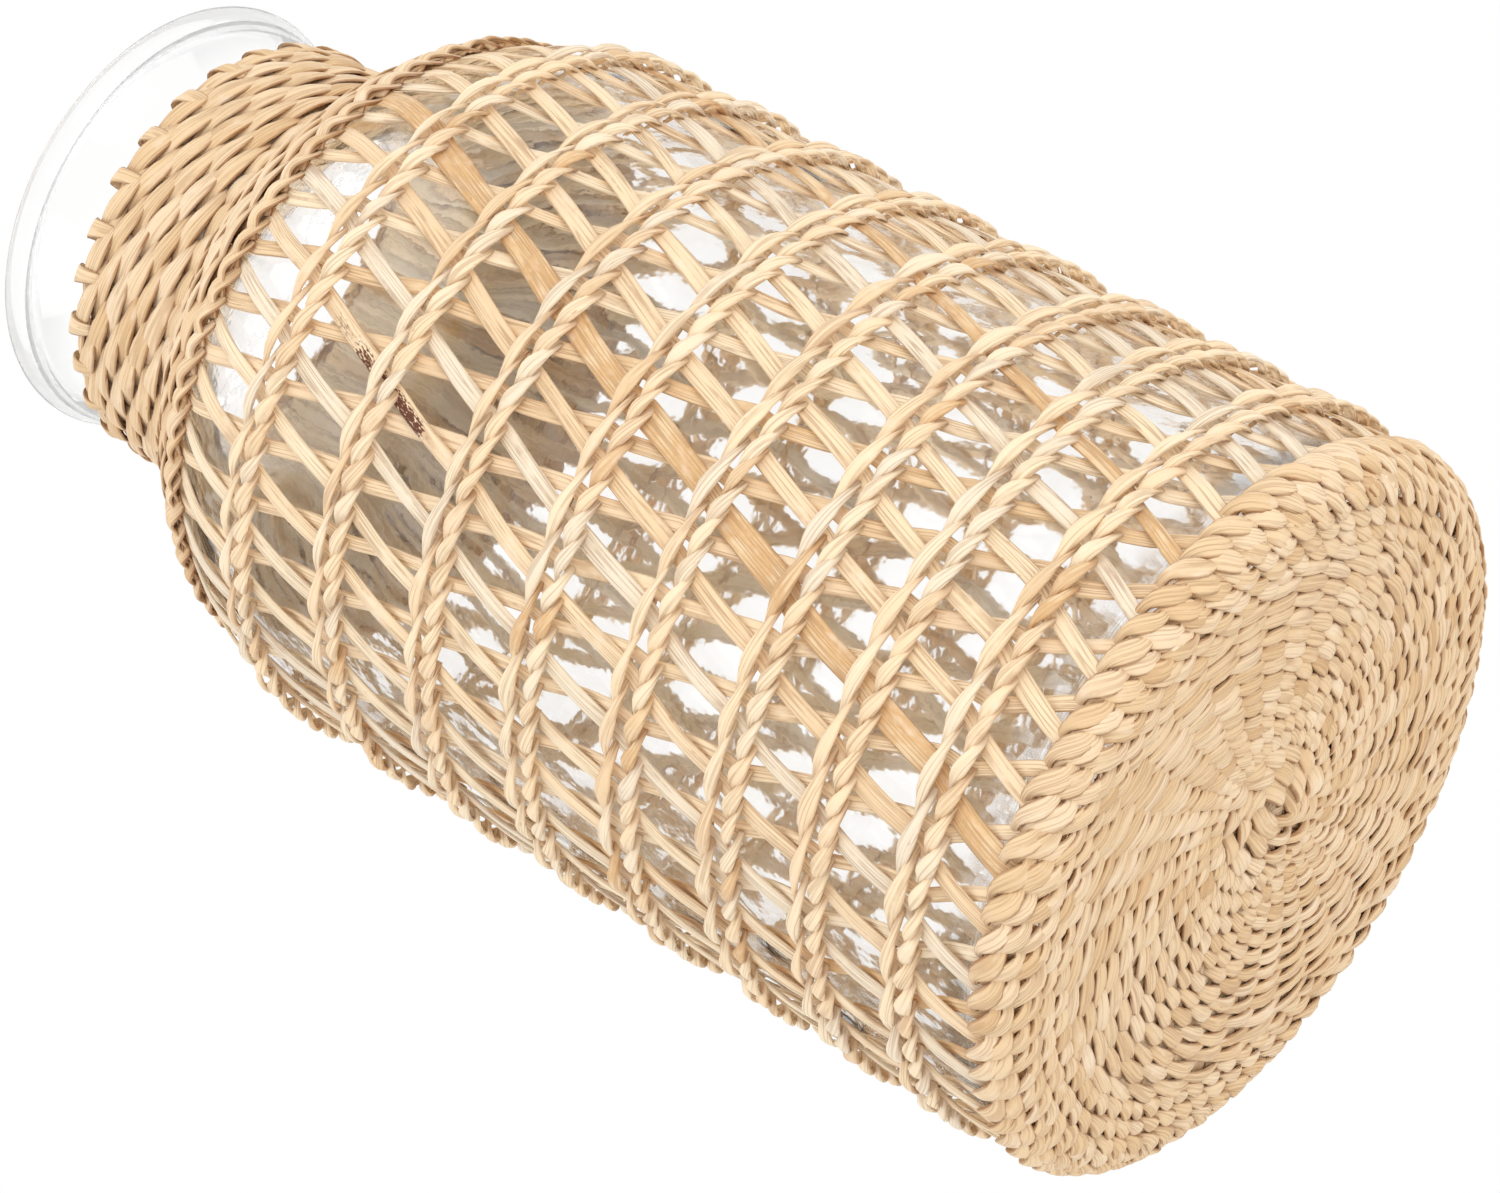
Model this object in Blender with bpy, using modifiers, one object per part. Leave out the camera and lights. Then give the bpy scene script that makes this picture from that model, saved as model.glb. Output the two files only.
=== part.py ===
"""Glass vase in a woven cover: the jar, its stakes, rings, base and collar.

Metres, +Z up. The origin is the middle of the flat underside. Every woven piece is
laid on the jar's own outline at a named depth, so the layers follow the glass.
"""

import math

import bmesh
import bpy

# The jar
BODY_RADIUS = 0.084
BASE_CORNER = 0.0055
WALL_LENGTH = 0.211
SHOULDER_RADIUS = 0.065
NECK_RADIUS = 0.0495
NECK_FILLET = 0.012
NECK_LENGTH = 0.0323
FLARE_HEIGHT = 0.0165
LIP_RADIUS = 0.0564
BEAD_RADIUS = 0.0032
BEAD_START_DEGREES = -45.0
BEAD_SWEEP_DEGREES = 270.0
GLASS_WALL = 0.0035
GLASS_FLOOR = 0.008

# Layers of the cover, from the glass outwards
FIT_GAP = 0.0003
GLASS_TO_STAKE = 0.0005
STAKE_THICKNESS = 0.0009
STAKE_TO_STAKE = 0.0009
STAKE_TO_WEAVE = 0.0007
WEAVE_THICKNESS = 0.0031

# Stakes
STAKE_PAIRS = 37
OUTER_STAKE_WIDTH = 0.0043
INNER_STAKE_WIDTH = 0.0034
FRONT_STAKE_ANGLE = -93.0
FRONT_STAKE_RING = 6

# How far an outer leg goes round in each gap, in degrees
FOOT_TURN = 5.0
LOWER_GAP_TURN = 6.1
UPPER_GAP_TURN = 7.1
SHOULDER_TURN = 6.9

# Rings and close rows
RING_COUNT = 8
LOWER_GAPS = 2
FIRST_RING_HEIGHT = 0.0325
LOWER_RING_PITCH = 0.0256
LAST_RING_CLIMB = 0.0072
ROW_PITCH = 0.0054
ROW_HEIGHT = 0.0042
ROW_GROOVE = 0.0009
BAND_TOP_HEIGHT = 0.0100
SHOULDER_ROW_ANGLE = 31.5
BORDER_HEIGHT = 0.0045
BORDER_TO_GLASS = 0.0006

# Facets
TURN_STEPS = 36
GLASS_STEPS = 40
CORNER_STEPS = 3
INNER_CORNER_STEPS = 2
SHOULDER_STEPS = 4
FILLET_STEPS = 2
BEAD_STEPS = 10
RINGS_PER_STATION = 2
SHORTEST_FACET = 0.0009
SMOOTH_ANGLE = math.radians(35)
MERGE = 0.00005

# Depths that follow from the layers
INNER_DEPTH = GLASS_TO_STAKE
OUTER_DEPTH = INNER_DEPTH + STAKE_THICKNESS + STAKE_TO_STAKE
WEAVE_DEPTH = OUTER_DEPTH + STAKE_THICKNESS + STAKE_TO_WEAVE
SKIN_DEPTH = WEAVE_DEPTH + WEAVE_THICKNESS

# Outline of the jar's outside, told by the distance climbed along it
CORNER_RADIUS_CENTRE = BODY_RADIUS - BASE_CORNER
WALL_FOOT = SKIN_DEPTH + BASE_CORNER
WALL_HEAD = WALL_FOOT + WALL_LENGTH
SHOULDER_CENTRE = BODY_RADIUS - SHOULDER_RADIUS
FILLET_CENTRE = NECK_RADIUS + NECK_FILLET
FILLET_HEIGHT = WALL_HEAD + math.sqrt(
    (SHOULDER_RADIUS + NECK_FILLET) ** 2 - (FILLET_CENTRE - SHOULDER_CENTRE) ** 2)
TANGENT_ANGLE = math.atan2(FILLET_HEIGHT - WALL_HEAD, FILLET_CENTRE - SHOULDER_CENTRE)
CORNER_ARC = BASE_CORNER * math.pi / 2
SHOULDER_ARC = SHOULDER_RADIUS * TANGENT_ANGLE
FILLET_ARC = NECK_FILLET * TANGENT_ANGLE
SHOULDER_RISE = WALL_LENGTH
FILLET_RISE = SHOULDER_RISE + SHOULDER_ARC
NECK_RISE = FILLET_RISE + FILLET_ARC
SHOULDER_ROW_RISE = SHOULDER_RISE + SHOULDER_RADIUS * math.radians(SHOULDER_ROW_ANGLE)
BORDER_RISE = NECK_RISE + NECK_LENGTH - BORDER_HEIGHT - FIT_GAP
COLLAR_TOP_RISE = BORDER_RISE - FIT_GAP
BAND_TOP_RISE = -BASE_CORNER * math.asin((WALL_FOOT - BAND_TOP_HEIGHT) / (BASE_CORNER + SKIN_DEPTH))

# Rings: close together low down, then evenly spread up to the last, which sits just past the wall
UPPER_GAPS = RING_COUNT - 1 - LOWER_GAPS
FIRST_RING_RISE = FIRST_RING_HEIGHT - WALL_FOOT
LOWER_RISES = [FIRST_RING_RISE + LOWER_RING_PITCH * gap for gap in range(LOWER_GAPS + 1)]
UPPER_RING_PITCH = (SHOULDER_RISE + LAST_RING_CLIMB - LOWER_RISES[-1]) / UPPER_GAPS

PITCH = 360.0 / STAKE_PAIRS
GAP_TURNS = [FOOT_TURN] + [LOWER_GAP_TURN] * LOWER_GAPS + [UPPER_GAP_TURN] * UPPER_GAPS + [SHOULDER_TURN]


def skin(rise, depth=0.0):
    """Point (radius, height) at a climb along the outside of the glass, a depth out from it."""
    if rise < 0:
        angle = rise / BASE_CORNER
        reach = BASE_CORNER + depth
        return (CORNER_RADIUS_CENTRE + reach * math.cos(angle), WALL_FOOT + reach * math.sin(angle))
    if rise <= SHOULDER_RISE:
        return (BODY_RADIUS + depth, WALL_FOOT + rise)
    if rise <= FILLET_RISE:
        angle = (rise - SHOULDER_RISE) / SHOULDER_RADIUS
        reach = SHOULDER_RADIUS + depth
        return (SHOULDER_CENTRE + reach * math.cos(angle), WALL_HEAD + reach * math.sin(angle))
    if rise <= NECK_RISE:
        angle = TANGENT_ANGLE - (rise - FILLET_RISE) / NECK_FILLET
        reach = NECK_FILLET - depth
        return (FILLET_CENTRE - reach * math.cos(angle), FILLET_HEIGHT - reach * math.sin(angle))
    return (NECK_RADIUS + depth, FILLET_HEIGHT + rise - NECK_RISE)


def spread(start, end, steps):
    """Evenly spaced values after start, up to and including end."""
    return [start + (end - start) * i / steps for i in range(1, steps + 1)]


RINGS = LOWER_RISES + spread(LOWER_RISES[-1], SHOULDER_RISE + LAST_RING_CLIMB, UPPER_GAPS)
MARKS = [BAND_TOP_RISE] + RINGS + [SHOULDER_ROW_RISE]
CORNER_STATIONS = [-CORNER_ARC] + spread(-CORNER_ARC, 0.0, CORNER_STEPS)
SHOULDER_STATIONS = spread(SHOULDER_RISE, FILLET_RISE, SHOULDER_STEPS)
FILLET_STATIONS = spread(FILLET_RISE, NECK_RISE, FILLET_STEPS)

# A stake's two legs meet at a heel low on the corner, and each is first creased two stations on
HEEL_RISE = CORNER_STATIONS[-3]
LEG_FOOT_STATIONS = CORNER_STATIONS[-2:]


def leg_stations():
    """Climbs at which a stake's leg has a crease, from the bottom corner to the collar's top."""
    wall = [rise for rise in RINGS[1::RINGS_PER_STATION] if rise < SHOULDER_RISE - LOWER_RING_PITCH / 2]
    return (LEG_FOOT_STATIONS + wall + [SHOULDER_RISE] + SHOULDER_STATIONS + FILLET_STATIONS
            + [COLLAR_TOP_RISE])


def gaps_passed(rise):
    """How many gaps between rings a climb has passed, with part of a gap as a fraction."""
    if rise <= MARKS[0]:
        return (rise - MARKS[0]) / (MARKS[1] - MARKS[0])
    for count, (low, high) in enumerate(zip(MARKS, MARKS[1:])):
        if rise <= high:
            return count + (rise - low) / (high - low)
    return float(len(MARKS) - 1)


def turn(passed):
    """Degrees that an outer leg has gone round after passing so many gaps."""
    whole = min(max(int(passed), 0), len(GAP_TURNS) - 1)
    return sum(GAP_TURNS[:whole]) + GAP_TURNS[whole] * (passed - whole)


def outer_angle(rise, pair):
    """Direction in degrees of an outer leg, which leans one way up to the shoulder row."""
    front = turn(min(FRONT_STAKE_RING, RING_COUNT))
    return FRONT_STAKE_ANGLE + pair * PITCH + turn(gaps_passed(rise)) - front


def inner_angle(rise, pair):
    """Direction of an inner leg, which passes one outer leg in each gap between rings."""
    return outer_angle(rise, pair) + PITCH / 2 - PITCH * gaps_passed(rise)


def mean_lean(angle_of):
    """Sideways run of a leg for each metre that it climbs, over the open part of the cover."""
    swept = math.radians(angle_of(SHOULDER_ROW_RISE, 0) - angle_of(0.0, 0))
    return swept * BODY_RADIUS / SHOULDER_ROW_RISE


def collection(name):
    """New collection in the scene."""
    group = bpy.data.collections.new(name)
    bpy.context.scene.collection.children.link(group)
    return group


def material(name, colour, roughness, transmission=0.0):
    """Principled material."""
    made = bpy.data.materials.new(name)
    made.use_nodes = True
    shader = made.node_tree.nodes["Principled BSDF"]
    shader.inputs["Base Color"].default_value = (*colour, 1.0)
    shader.inputs["Roughness"].default_value = roughness
    shader.inputs["Metallic"].default_value = 0.0
    shader.inputs["Transmission Weight"].default_value = transmission
    return made


def add_object(name, mesh, surface, group):
    """Object for a mesh, with its material, shaded smooth between its sharp edges."""
    mesh.materials.append(surface)
    mesh.shade_smooth()
    mesh.set_sharp_from_angle(angle=SMOOTH_ANGLE)
    piece = bpy.data.objects.new(name, mesh)
    group.objects.link(piece)
    return piece


def turned(name, profile, closed, surface, group, steps=TURN_STEPS):
    """Profile at +X, running down its outer side, turned about Z by a Screw modifier."""
    shape = bmesh.new()
    points = [shape.verts.new((radius, 0.0, height)) for radius, height in profile]
    for first, second in zip(points, points[1:]):
        shape.edges.new((first, second))
    if closed:
        shape.edges.new((points[-1], points[0]))
    mesh = bpy.data.meshes.new(name)
    shape.to_mesh(mesh)
    shape.free()
    piece = add_object(name, mesh, surface, group)
    screw = piece.modifiers.new("Turn", "SCREW")
    screw.steps = steps
    screw.render_steps = steps
    screw.use_merge_vertices = True
    screw.merge_threshold = MERGE
    screw.use_smooth_shade = True
    return piece


def jar_lip():
    """Bead of the lip, from its root outside over the top to its root inside."""
    centre = LIP_RADIUS - BEAD_RADIUS
    height = FILLET_HEIGHT + NECK_LENGTH + FLARE_HEIGHT + BEAD_RADIUS
    start = math.radians(BEAD_START_DEGREES)
    angles = [start] + spread(start, start + math.radians(BEAD_SWEEP_DEGREES), BEAD_STEPS)
    return [(centre + BEAD_RADIUS * math.cos(a), height + BEAD_RADIUS * math.sin(a)) for a in angles]


def build_glass(surface, group):
    """Jar: the outside from lip to floor, then the inside back up to the lip."""
    neck_head = (NECK_RADIUS, FILLET_HEIGHT + NECK_LENGTH)
    rises = CORNER_STATIONS + [SHOULDER_RISE] + SHOULDER_STATIONS + FILLET_STATIONS
    outside = [skin(rise) for rise in rises] + [neck_head]
    floor = SKIN_DEPTH + GLASS_FLOOR
    inner_corner = BASE_CORNER - GLASS_WALL
    foot = [(CORNER_RADIUS_CENTRE, floor)]
    foot += [(CORNER_RADIUS_CENTRE + inner_corner * math.sin(a), floor + inner_corner * (1 - math.cos(a)))
             for a in spread(0.0, math.pi / 2, INNER_CORNER_STEPS)]
    inside = foot + [skin(rise, -GLASS_WALL) for rise in [SHOULDER_RISE] + SHOULDER_STATIONS
                     + FILLET_STATIONS]
    inside.append((neck_head[0] - GLASS_WALL, neck_head[1]))
    lip = jar_lip()
    profile = [(0.0, floor)] + inside + lip[::-1] + outside[::-1] + [(0.0, SKIN_DEPTH)]
    return turned("glass_vase", profile, False, surface, group, GLASS_STEPS)


def sheath(rises):
    """Closed profile of a close weave over a stretch of the outline, outer side first and downwards."""
    outer = [skin(rise, SKIN_DEPTH) for rise in reversed(rises)]
    inner = [skin(rise, WEAVE_DEPTH) for rise in rises]
    return outer + inner


def two_rows(top_rise):
    """Closed profile of two twined rows with a groove between them."""
    upper = top_rise
    lower = top_rise - ROW_PITCH
    return [
        skin(upper + ROW_HEIGHT / 2, WEAVE_DEPTH),
        skin(upper, SKIN_DEPTH),
        skin((upper + lower) / 2, SKIN_DEPTH - ROW_GROOVE),
        skin(lower, SKIN_DEPTH),
        skin(lower - ROW_HEIGHT / 2, WEAVE_DEPTH),
    ]


def build_rings(surface, group):
    """The open rings and the shoulder row that ends them."""
    for number, rise in enumerate(RINGS, start=1):
        turned(f"ring_{number}", two_rows(rise), True, surface, group)
    turned("shoulder_row", two_rows(SHOULDER_ROW_RISE), True, surface, group)


def build_base(surface, group):
    """Flat twined mat under the jar, and the coarser rows round the corner."""
    radius = CORNER_RADIUS_CENTRE - FIT_GAP
    top = SKIN_DEPTH - FIT_GAP
    turned("base_mat", [(0.0, top), (radius, top), (radius, 0.0), (0.0, 0.0)], False, surface, group)
    rises = [rise for rise in CORNER_STATIONS if rise < BAND_TOP_RISE - SHORTEST_FACET] + [BAND_TOP_RISE]
    turned("base_band", sheath(rises), True, surface, group)


def build_collar(surface, group):
    """Close rows over the shoulder and neck, and the folded border on top."""
    start = SHOULDER_ROW_RISE + ROW_HEIGHT / 2 + FIT_GAP
    over = [rise for rise in SHOULDER_STATIONS + FILLET_STATIONS if rise > start + SHORTEST_FACET]
    turned("shoulder_weave", sheath([start] + over), True, surface, group)
    turned("collar_weave", sheath([NECK_RISE + FIT_GAP, COLLAR_TOP_RISE]), True, surface, group)
    high = BORDER_RISE + BORDER_HEIGHT
    round_off = WEAVE_THICKNESS / 2
    border = [
        skin(high, BORDER_TO_GLASS),
        skin(high, SKIN_DEPTH - round_off),
        skin(high - round_off, SKIN_DEPTH),
        skin(BORDER_RISE, SKIN_DEPTH),
        skin(BORDER_RISE, BORDER_TO_GLASS),
    ]
    turned("collar_border", border, True, surface, group)


def across(point, direction, width):
    """Left and right edge of a stake, level, at a (radius, height) and a direction."""
    radius, height = point
    half = width / (2 * radius)
    middle = math.radians(direction)
    return [(radius * math.cos(a), radius * math.sin(a), height) for a in (middle - half, middle + half)]


def leg_rows(angle_of, width, depth, pair):
    """Edges of a leg from its heel, under the jar's corner, up through each station."""
    stations = leg_stations()
    level_width = width * math.hypot(1.0, mean_lean(angle_of))
    heel = across(skin(HEEL_RISE, depth), angle_of(stations[0], pair), level_width)
    return [heel] + [across(skin(rise, depth), angle_of(rise, pair), level_width) for rise in stations]


def build_stake_pair(pair, surface, group):
    """One stake, doubled at its heel: an outer leg and an inner leg that lean apart."""
    legs = [(outer_angle, OUTER_STAKE_WIDTH, OUTER_DEPTH), (inner_angle, INNER_STAKE_WIDTH, INNER_DEPTH)]
    shape = bmesh.new()
    heels = []
    for angle_of, width, depth in legs:
        rows = leg_rows(angle_of, width, depth, pair)
        verts = [[shape.verts.new(point) for point in row] for row in rows]
        for low, high in zip(verts, verts[1:]):
            shape.faces.new((low[0], low[1], high[1], high[0]))
        heels.append(verts[:2])
    outer, inner = heels
    shape.faces.new((outer[0][1], inner[0][0], inner[1][0], outer[1][1]))
    name = f"stake_pair_{pair + 1:02d}"
    mesh = bpy.data.meshes.new(name)
    shape.to_mesh(mesh)
    shape.free()
    piece = add_object(name, mesh, surface, group)
    solid = piece.modifiers.new("Thickness", "SOLIDIFY")
    solid.thickness = STAKE_THICKNESS
    solid.offset = 1.0
    solid.use_even_offset = True
    return piece


def main():
    """Clear the scene and build every piece."""
    for old in list(bpy.data.objects):
        bpy.data.objects.remove(old, do_unlink=True)
    group = collection("woven_glass_vase")
    glass = material("clear_glass", (0.95, 0.97, 0.97), 0.03, 1.0)
    stake = material("split_stake", (0.78, 0.60, 0.36), 0.6)
    weaver = material("twisted_weaver", (0.80, 0.61, 0.37), 0.65)
    base = material("base_weaver", (0.77, 0.60, 0.38), 0.7)
    build_glass(glass, group)
    build_base(base, group)
    for pair in range(STAKE_PAIRS):
        build_stake_pair(pair, stake, group)
    build_rings(weaver, group)
    build_collar(weaver, group)


main()
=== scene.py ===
"""Woven glass vase: the glass, every strand of the cover, their finishes, the light and the camera.

Metres, +Z up. The woven pieces are laid on the outline of the jar at a climb along it and a
depth out from it, so each stands where the solid that it replaces stands.
"""

import logging
import math
from dataclasses import dataclass, field, replace
from enum import Enum

import bpy
import numpy as np
from mathutils import Matrix, Vector


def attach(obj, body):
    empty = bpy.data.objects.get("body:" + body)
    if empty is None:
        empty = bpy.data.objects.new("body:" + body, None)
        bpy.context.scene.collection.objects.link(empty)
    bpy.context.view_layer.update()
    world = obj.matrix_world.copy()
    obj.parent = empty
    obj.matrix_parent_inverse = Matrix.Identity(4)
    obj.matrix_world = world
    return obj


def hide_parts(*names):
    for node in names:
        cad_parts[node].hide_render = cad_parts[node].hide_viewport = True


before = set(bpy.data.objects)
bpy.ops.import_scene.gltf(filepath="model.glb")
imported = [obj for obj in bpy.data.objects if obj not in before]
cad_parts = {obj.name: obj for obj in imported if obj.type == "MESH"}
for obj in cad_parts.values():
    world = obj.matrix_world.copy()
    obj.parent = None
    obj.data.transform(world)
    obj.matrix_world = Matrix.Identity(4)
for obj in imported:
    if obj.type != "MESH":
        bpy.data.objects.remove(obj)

Array = np.ndarray
log = logging.getLogger("woven_vase")

ROOT_BODY = "root"
MM = 0.001
FULL_TURN = 2.0 * math.pi
STRAND_MAP = "strand"
MARKS = ("tone", "stain", "tuck", "rim")


class Slot(Enum):
    """Material slots of the record."""

    GLASS = "glass"
    STAKE = "stake"
    WEAVER = "weaver"
    BASE = "base_weave"


# Shader maths


class Wire:
    """One socket of a shader tree, which Python's operators join to Math nodes."""

    def __init__(self, shade: "Shade", socket: bpy.types.NodeSocket) -> None:
        """Keep the tree and the socket."""
        self.shade = shade
        self.socket = socket

    def __add__(self, other: "Wire | float") -> "Wire":
        """Sum."""
        return self.shade.maths("ADD", self, other)

    def __radd__(self, other: float) -> "Wire":
        """Sum, with the number first."""
        return self.shade.maths("ADD", other, self)

    def __sub__(self, other: "Wire | float") -> "Wire":
        """Difference."""
        return self.shade.maths("SUBTRACT", self, other)

    def __rsub__(self, other: float) -> "Wire":
        """Difference, with the number first."""
        return self.shade.maths("SUBTRACT", other, self)

    def __mul__(self, other: "Wire | float") -> "Wire":
        """Product."""
        return self.shade.maths("MULTIPLY", self, other)

    def __rmul__(self, other: float) -> "Wire":
        """Product, with the number first."""
        return self.shade.maths("MULTIPLY", other, self)

    def clamped(self) -> "Wire":
        """The value held between 0 and 1."""
        return self.shade.maths("MINIMUM", self.shade.maths("MAXIMUM", self, 0.0), 1.0)


class Shade:
    """A material or world being wired."""

    def __init__(self, owner: bpy.types.ID) -> None:
        """Start an empty tree on a material or a world."""
        owner.use_nodes = True
        self.tree = owner.node_tree
        self.tree.nodes.clear()

    def node(self, kind: str, settings: dict | None = None, inputs: dict | None = None) -> bpy.types.Node:
        """Add a node.

        Args:
            kind: The node's type name, without the ShaderNode prefix.
            settings: Attributes to set first. Stops holds a ramp's places and colours.
            inputs: Values or wires for its sockets, by name or number.

        Returns:
            The new node.
        """
        made = self.tree.nodes.new("ShaderNode" + kind)
        for name, value in (settings or {}).items():
            if name == "stops":
                self.set_stops(made.color_ramp.elements, value)
            else:
                setattr(made, name, value)
        for key, value in (inputs or {}).items():
            socket = made.inputs[key]
            if isinstance(value, Wire):
                self.tree.links.new(value.socket, socket)
            elif isinstance(value, bpy.types.NodeSocket):
                self.tree.links.new(value, socket)
            else:
                socket.default_value = value
        return made

    def set_stops(self, elements: bpy.types.ColorRampElements, stops: tuple) -> None:
        """Give a ramp its stops, each a place from 0 to 1 and a colour."""
        while len(elements) < len(stops):
            elements.new(1.0)
        for element, (position, colour) in zip(elements, stops):
            element.position = position
            element.color = colour

    def wire(self, kind: str, output: str | int, settings: dict | None = None,
             inputs: dict | None = None) -> Wire:
        """Add a node and return one of its outputs as a wire."""
        return Wire(self, self.node(kind, settings, inputs).outputs[output])

    def maths(self, operation: str, first: "Wire | float", second: "Wire | float") -> Wire:
        """A Math node on two values."""
        return self.wire("Math", 0, {"operation": operation}, {0: first, 1: second})

    def mix(self, share: "Wire | float", first: "Wire | tuple", second: "Wire | tuple") -> Wire:
        """Blend of two colours by a share from 0 to 1."""
        return self.wire("Mix", 2, {"data_type": "RGBA"}, {0: share, 6: first, 7: second})

    def ramp(self, value: Wire, low: float, high: float) -> Wire:
        """Value stretched so that low gives 0 and high gives 1, smoothly and held there."""
        return self.wire("MapRange", 0, {"interpolation_type": "SMOOTHSTEP", "clamp": True},
                         {0: value, 1: low, 2: high, 3: 0.0, 4: 1.0})

    def finish(self, shader: bpy.types.Node) -> None:
        """Join a shader to the output."""
        self.node("OutputMaterial", None, {"Surface": shader.outputs[0]})


def rgb(red: int, green: int, blue: int) -> tuple[float, float, float, float]:
    """Screen colour from 0 to 255, as the linear colour that a shader takes."""
    def linear(value: int) -> float:
        """One channel of it, by the usual curve of screens."""
        share = value / 255.0
        return share / 12.92 if share <= 0.04045 else ((share + 0.055) / 1.055) ** 2.4

    return (linear(red), linear(green), linear(blue), 1.0)


# Finishes


# Tones of the open lattice, some of them well tanned. All are paler than those of the close rows:
# painted light that makes up for the open lattice coming out darker under the lamps than the close rows
OPEN_TONES = (
    (0.00, rgb(236, 220, 195)),
    (0.25, rgb(243, 222, 188)),
    (0.62, rgb(241, 215, 177)),
    (0.82, rgb(239, 211, 174)),
    (0.95, rgb(233, 202, 160)),
    (1.00, rgb(217, 176, 126)),
)


@dataclass(frozen=True)
class StrawFinish:
    """Dry split rush: fibres along the strand, and a tone that changes from strand to strand.

    fibres, strips, patches, spots, grains: each a noise, told by its pitch across the strand,
    how many times longer it is along it, and its detail.
    Levels: where on such a noise, or on a mark, its effect starts and where it is full.
    """

    name: str
    tones: tuple = (
        (0.00, rgb(237, 211, 176)),
        (0.35, rgb(232, 204, 165)),
        (0.70, rgb(229, 198, 156)),
        (0.92, rgb(225, 192, 148)),
        (1.00, rgb(217, 180, 134)),
    )
    # Colour of the dark grain lines, and of the painted shade at strand edges and tucked ends
    dark_line_and_shade: tuple = rgb(150, 100, 56)
    bleached: tuple = rgb(243, 227, 207)
    freckle: tuple = rgb(190, 134, 86)
    stain: tuple = rgb(98, 52, 32)
    fibres: tuple = (0.6 * MM, 24.0, 2.0)
    strips: tuple = (0.95 * MM, 40.0, 0.0)
    patches: tuple = (4.0 * MM, 2.4, 3.0)
    spots: tuple = (1.3 * MM, 3.0, 1.0)
    grains: tuple = (0.45 * MM, 3.0, 1.0)
    apart: float = 97.0
    twist: float = 0.0
    tone_drift: float = 0.30
    fade_levels: tuple = (0.54, 0.76)
    fade_share: float = 0.45
    freckle_levels: tuple = (0.74, 0.82)
    freckle_share: float = 0.5
    fibre_levels: tuple = (0.48, 0.32)
    fibre_shade: float = 0.16
    groove_widths: tuple = (0.11, 0.02)
    groove_levels: tuple = (0.72, 0.40)
    groove_shade: float = 0.45
    rim_levels: tuple = (0.74, 0.93)
    rim_shade: float = 0.16
    tuck_shade: float = 0.28
    scar_spread: float = 0.32
    scar_levels: tuple = (0.60, 0.76)
    scar_edge: tuple = (0.05, 0.60)
    relief: float = 0.16 * MM
    fibre_relief: float = 0.30
    groove_relief: float = 0.7
    roughness: float = 0.60
    fibre_roughness: float = 0.14

    def build(self) -> bpy.types.Material:
        """Material of this finish.

        The strands' map holds metres across and along the strand. The mark tone is one number
        for each strand, stain says how much of a blemish a point has, tuck how far it goes in
        under its neighbours, where painted shade darkens it, and rim how near it is to an edge,
        where painted shade darkens it too.
        """
        made = bpy.data.materials.new(self.name)
        shade = Shade(made)
        tone, blemish, tuck, rim = (
            shade.wire("Attribute", "Fac", {"attribute_name": mark}) for mark in MARKS)
        split = shade.node("SeparateXYZ", None, {0: shade.wire("UVMap", 0, {"uv_map": STRAND_MAP})})
        length = Wire(shade, split.outputs[1])
        across = Wire(shade, split.outputs[0]) + length * self.twist

        def streaks(pitch: float, stretch: float, detail: float) -> Wire:
            """Noise of a pitch across the strand, drawn out along it, other on every strand."""
            place = shade.wire("CombineXYZ", 0, None, {
                0: across * (1.0 / pitch), 1: length * (1.0 / (pitch * stretch)), 2: tone * self.apart})
            return shade.wire("TexNoise", 0, {"noise_dimensions": "3D"},
                              {"Vector": place, "Scale": 1.0, "Detail": detail, "Roughness": 0.6})

        fibres, strips, patches, spots, grains = (
            streaks(*noise) for noise in (self.fibres, self.strips, self.patches, self.spots, self.grains))
        grooves = shade.ramp(shade.maths("ABSOLUTE", strips - 0.5, 0.0), *self.groove_widths)
        drifted = (tone + (patches - 0.5) * self.tone_drift).clamped()
        own = shade.wire("ValToRGB", 0, {"stops": self.tones}, {0: drifted})
        bleaching = shade.ramp(patches, *self.fade_levels) * self.fade_share
        freckling = shade.ramp(spots, *self.freckle_levels) * self.freckle_share
        freckled = shade.mix(freckling, shade.mix(bleaching, own, self.bleached), self.freckle)
        # Fibre lines and grooves are the rush's own grain; rim and tuck add painted shade along the edges and
        # where a strand goes in under its neighbours
        grain_and_shade = (shade.ramp(fibres, *self.fibre_levels) * self.fibre_shade
                 + grooves * shade.ramp(patches, *self.groove_levels) * self.groove_shade
                 + shade.ramp(rim, *self.rim_levels) * self.rim_shade + tuck * self.tuck_shade)
        grained_and_shaded = shade.mix(grain_and_shade.clamped(), freckled, self.dark_line_and_shade)
        spoiled = (shade.ramp(grains + blemish * self.scar_spread, *self.scar_levels)
                   * shade.ramp(blemish, *self.scar_edge))
        colour = shade.mix(spoiled, grained_and_shaded, self.stain)
        height = fibres * self.fibre_relief - grooves * self.groove_relief
        bump = shade.wire("Bump", 0, None, {"Strength": 0.6, "Distance": self.relief, "Height": height})
        rough = (self.roughness + fibres * self.fibre_roughness).clamped()
        shader = shade.node("BsdfPrincipled", None, {
            "Base Color": colour, "Roughness": rough, "Normal": bump, "IOR": 1.42,
            "Sheen Weight": 0.08, "Sheen Roughness": 0.5})
        shade.finish(shader)
        return made


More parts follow.
